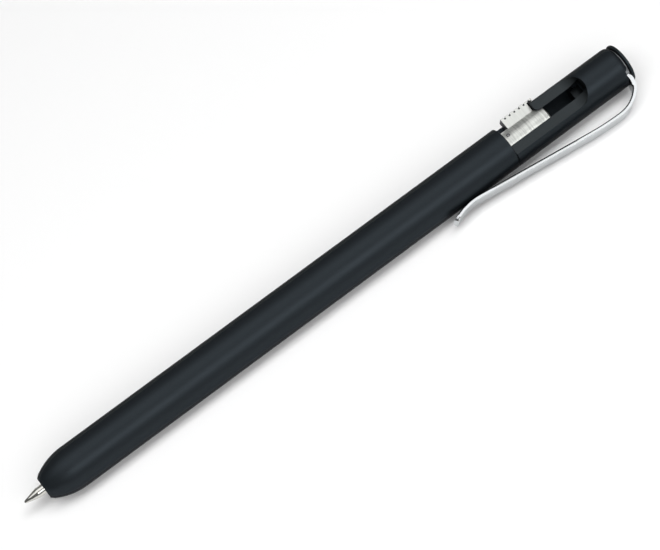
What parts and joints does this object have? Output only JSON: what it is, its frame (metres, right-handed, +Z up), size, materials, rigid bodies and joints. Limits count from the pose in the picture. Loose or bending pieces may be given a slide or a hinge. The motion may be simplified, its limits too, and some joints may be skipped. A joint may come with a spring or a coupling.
{
  "type": "bolt action pen",
  "caption": "Slim metal ballpoint pen with a side bolt in a milled window, a bent pocket clip and a spring return refill, tip locked out.",
  "frame": {"origin": "middle of the cap's flat end face, on the pen's axis", "axes": "+X along the pen's axis from the nose to the cap and out of the cap's end face; +Z up as the pen lies on a desk, on its barrel and on the edge of its clip; the clip is on the -Y side, just below level, the window faces up and the locked thumb tab is on the +Y side"},
  "size_m": [0.1459, 0.0145, 0.009],
  "materials": {
    "anodised_black": "matte black anodised",
    "anodised_cap": "matte black anodised",
    "polished_steel": "polished stainless steel",
    "machined_steel": "turned and milled stainless steel",
    "spring_wire": "drawn spring wire",
    "nickel_silver": "turned nickel silver",
    "hard_metal": "ground carbide",
    "brass": "turned brass",
    "plated_tube": "drawn and plated",
    "grey_nylon": "moulded"
  },
  "bodies": {
    "pen_body": {"front_barrel": "anodised_black", "rear_barrel": "anodised_black", "pocket_clip": "polished_steel", "end_cap": "anodised_cap", "return_spring": "spring_wire"},
    "refill": {"refill_tip": "nickel_silver", "writing_ball": "hard_metal", "refill_neck": "brass", "refill_tube": "plated_tube", "refill_plug": "grey_nylon"},
    "bolt": {"bolt": "machined_steel", "thumb_tab": "machined_steel"}
  },
  "joints": [
    {"name": "push", "type": "slide", "parent": "pen_body", "child": "refill", "axis": [-1, 0, 0], "range_m": [0, 0.0022], "stiffness_N_per_m": 250, "springref_m": -0.01, "deforming": ["return_spring"]},
    {"name": "turn", "type": "hinge", "parent": "refill", "child": "bolt", "pos_m": [0, 0, 0], "axis": [1, 0, 0], "range_deg": [0, 83.5]}
  ]
}
